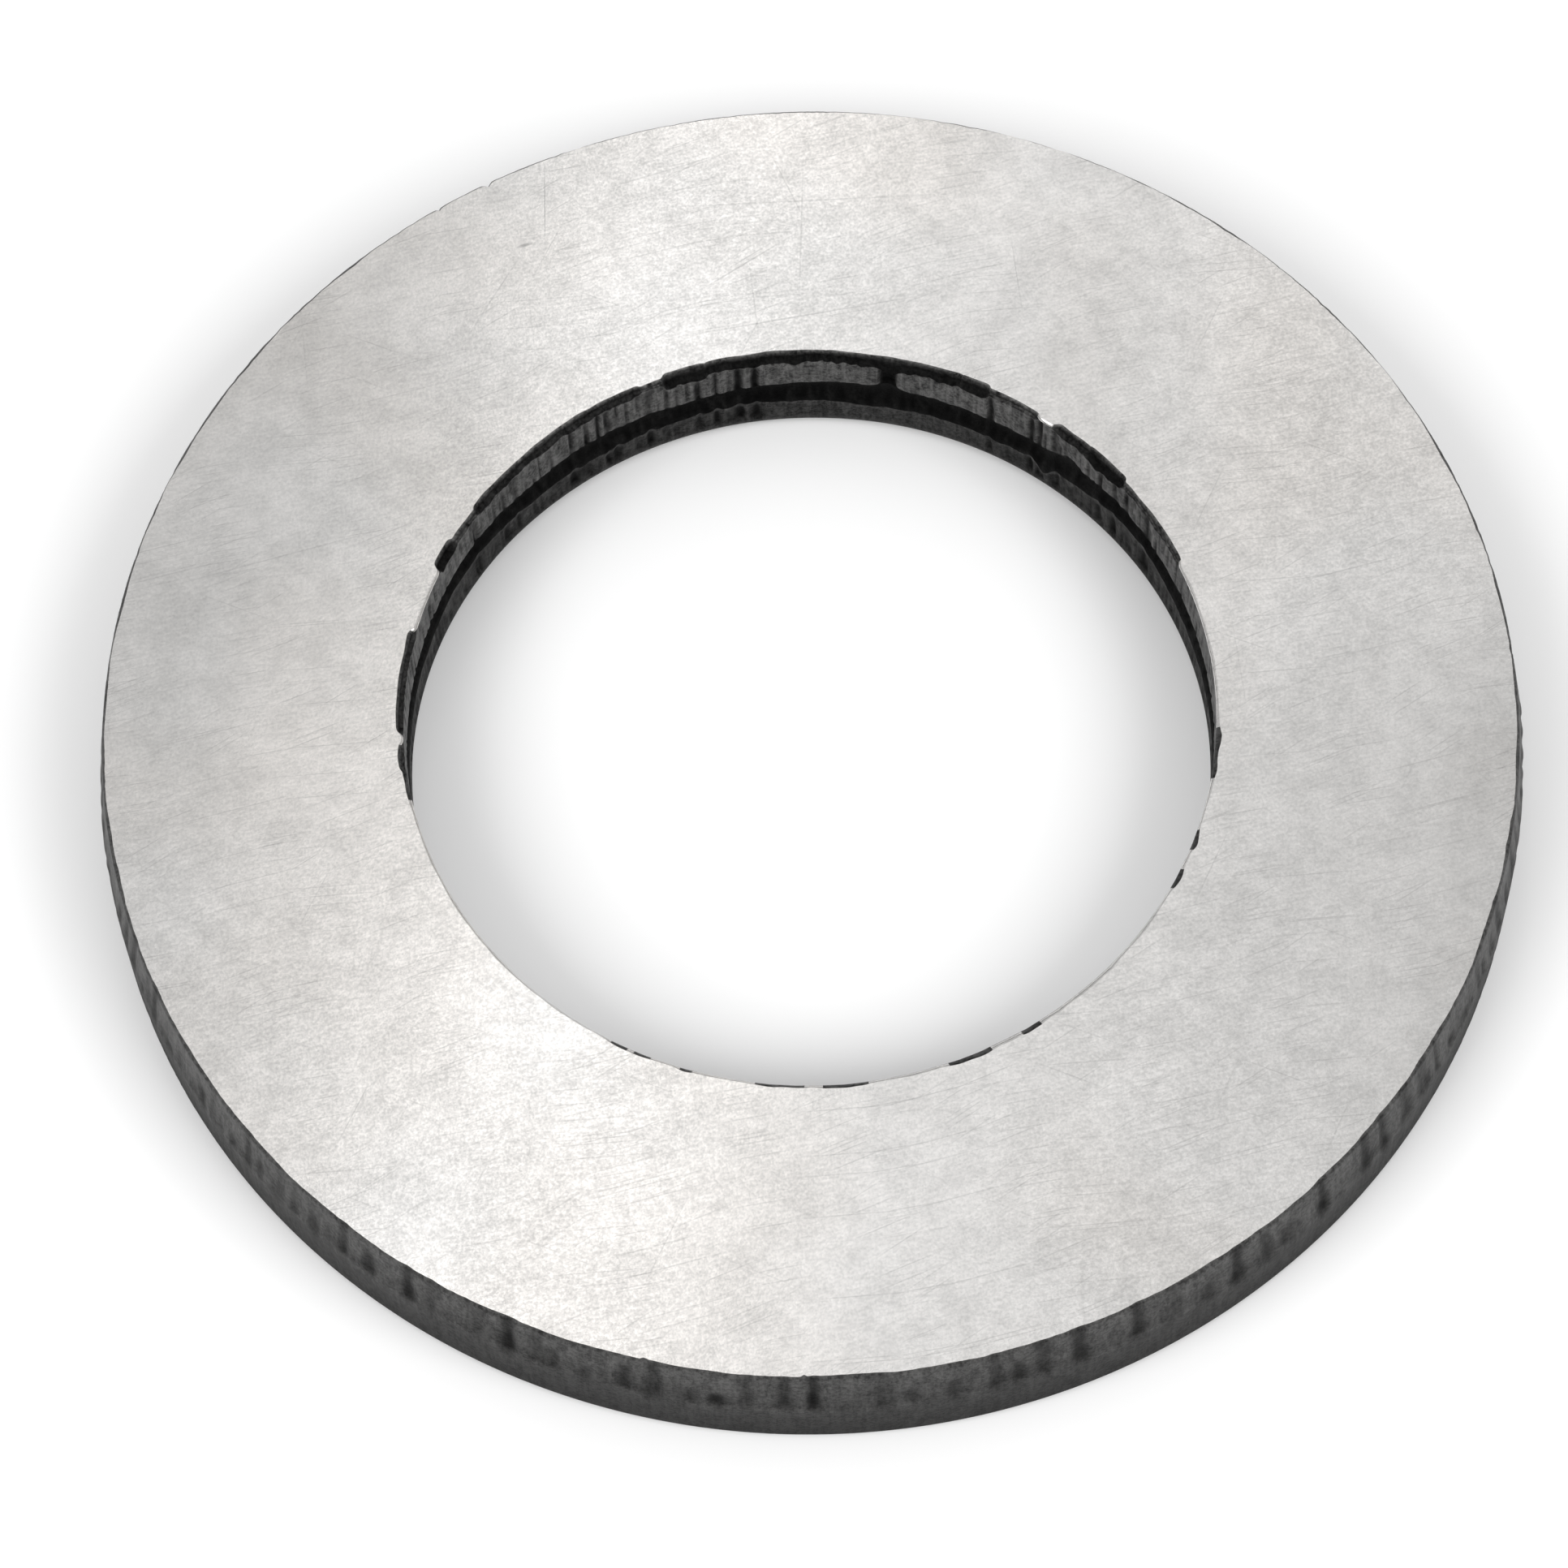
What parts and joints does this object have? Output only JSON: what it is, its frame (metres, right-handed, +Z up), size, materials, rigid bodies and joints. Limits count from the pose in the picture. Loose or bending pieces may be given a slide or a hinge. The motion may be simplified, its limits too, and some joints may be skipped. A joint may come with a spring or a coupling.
{
  "type": "flat washer",
  "caption": "Plain flat steel washer for a 16 mm bolt: a stamped ring that spreads the load under a bolt head or nut.",
  "frame": {"origin": "centre of the lower face, which is the face with the rolled edges", "axes": "+Z up the bolt's axis, from the lower face to the upper face; the ring is round, so X and Y are free"},
  "size_m": [0.03, 0.03, 0.003],
  "materials": {
    "washer_steel": "bare satin steel faces with fine handling scratches, dark sheared and torn edges"
  },
  "bodies": {
    "root": {"washer": "washer_steel"}
  },
  "joints": []
}
